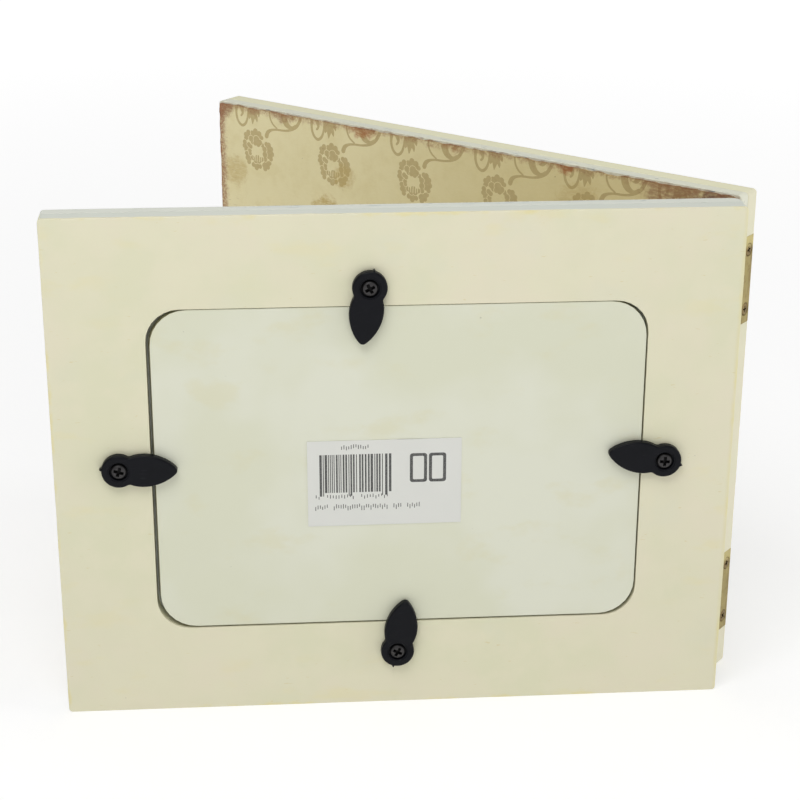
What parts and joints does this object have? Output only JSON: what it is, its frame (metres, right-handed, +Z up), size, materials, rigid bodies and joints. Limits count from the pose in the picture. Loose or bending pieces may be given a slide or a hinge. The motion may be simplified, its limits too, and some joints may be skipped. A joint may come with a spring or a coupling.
{
  "type": "folding double photo frame",
  "caption": "Folding double photo frame: two painted board leaves with picture windows, joined like a book by brass butt hinges, backs held by turn buttons.",
  "frame": {"origin": "middle of the footprint of the open frame, on the surface that it stands on", "axes": "+Z up, +X along the right leaf from its free edge to the hinges, +Y from the right leaf's back to its picture side"},
  "size_m": [0.2276, 0.1664, 0.172],
  "materials": {
    "cream_paint": "satin cream paint on fibreboard",
    "edge_paint": "satin off-white paint on fibreboard",
    "printed_paper": "matt aged paper with a floral print",
    "glass": "clear",
    "photo_card": "matt",
    "backing_board": "smooth pale painted hardboard",
    "label": "smooth white",
    "black_plastic": "semi-gloss moulded",
    "screw_steel": "blackened steel",
    "brass": "aged brass"
  },
  "bodies": {
    "right_leaf": {"right_facing_paper": "printed_paper", "right_face_board": "edge_paint", "right_back_ring": "cream_paint", "right_glass": "glass", "right_photo_card": "photo_card", "right_backing_board": "backing_board", "right_button_screw_top": "screw_steel", "right_button_screw_free_side": "screw_steel", "right_button_screw_hinge_side": "screw_steel", "right_button_screw_bottom": "screw_steel", "right_hinge_plate_upper": "brass", "right_hinge_screw_upper_a": "brass", "right_hinge_screw_upper_b": "brass", "right_hinge_plate_lower": "brass", "right_hinge_screw_lower_a": "brass", "right_hinge_screw_lower_b": "brass", "right_label": "label", "hinge_pin_upper": "brass", "hinge_pin_lower": "brass"},
    "left_leaf": {"left_facing_paper": "printed_paper", "left_face_board": "edge_paint", "left_back_ring": "cream_paint", "left_glass": "glass", "left_photo_card": "photo_card", "left_backing_board": "backing_board", "left_button_screw_top": "screw_steel", "left_button_screw_free_side": "screw_steel", "left_button_screw_hinge_side": "screw_steel", "left_button_screw_bottom": "screw_steel", "left_hinge_plate_upper": "brass", "left_hinge_screw_upper_a": "brass", "left_hinge_screw_upper_b": "brass", "left_hinge_plate_lower": "brass", "left_hinge_screw_lower_a": "brass", "left_hinge_screw_lower_b": "brass"},
    "right_turn_button_top": {"right_button_top": "black_plastic"},
    "right_turn_button_free_side": {"right_button_free_side": "black_plastic"},
    "right_turn_button_hinge_side": {"right_button_hinge_side": "black_plastic"},
    "right_turn_button_bottom": {"right_button_bottom": "black_plastic"},
    "left_turn_button_top": {"left_button_top": "black_plastic"},
    "left_turn_button_free_side": {"left_button_free_side": "black_plastic"},
    "left_turn_button_hinge_side": {"left_button_hinge_side": "black_plastic"},
    "left_turn_button_bottom": {"left_button_bottom": "black_plastic"}
  },
  "joints": [
    {"name": "leaf_hinge", "type": "hinge", "parent": "right_leaf", "child": "left_leaf", "pos_m": [0.10712, -0.06912, 0.086], "axis": [0, 0, -1], "range_deg": [-40.6, 144.4]},
    {"name": "right_turn_top", "type": "hinge", "parent": "right_leaf", "child": "right_turn_button_top", "pos_m": [-0.01239, -0.08142, 0.1483], "axis": [0, -1, 0], "continuous": true},
    {"name": "right_turn_free_side", "type": "hinge", "parent": "right_leaf", "child": "right_turn_button_free_side", "pos_m": [-0.09288, -0.08142, 0.0885], "axis": [0, -1, 0], "continuous": true},
    {"name": "right_turn_hinge_side", "type": "hinge", "parent": "right_leaf", "child": "right_turn_button_hinge_side", "pos_m": [0.08361, -0.08142, 0.0872], "axis": [0, -1, 0], "continuous": true},
    {"name": "right_turn_bottom", "type": "hinge", "parent": "right_leaf", "child": "right_turn_button_bottom", "pos_m": [-0.00338, -0.08142, 0.0202], "axis": [0, -1, 0], "continuous": true},
    {"name": "left_turn_top", "type": "hinge", "parent": "left_leaf", "child": "left_turn_button_top", "pos_m": [0.03228, 0.01122, 0.1481], "axis": [0.6508, 0.7593, 0], "continuous": true},
    {"name": "left_turn_free_side", "type": "hinge", "parent": "left_leaf", "child": "left_turn_button_free_side", "pos_m": [-0.03673, 0.07038, 0.0856], "axis": [0.6508, 0.7593, 0], "continuous": true},
    {"name": "left_turn_hinge_side", "type": "hinge", "parent": "left_leaf", "child": "left_turn_button_hinge_side", "pos_m": [0.09728, -0.04449, 0.0868], "axis": [0.6508, 0.7593, 0], "continuous": true},
    {"name": "left_turn_bottom", "type": "hinge", "parent": "left_leaf", "child": "left_turn_button_bottom", "pos_m": [0.02909, 0.01395, 0.0204], "axis": [0.6508, 0.7593, 0], "continuous": true}
  ]
}
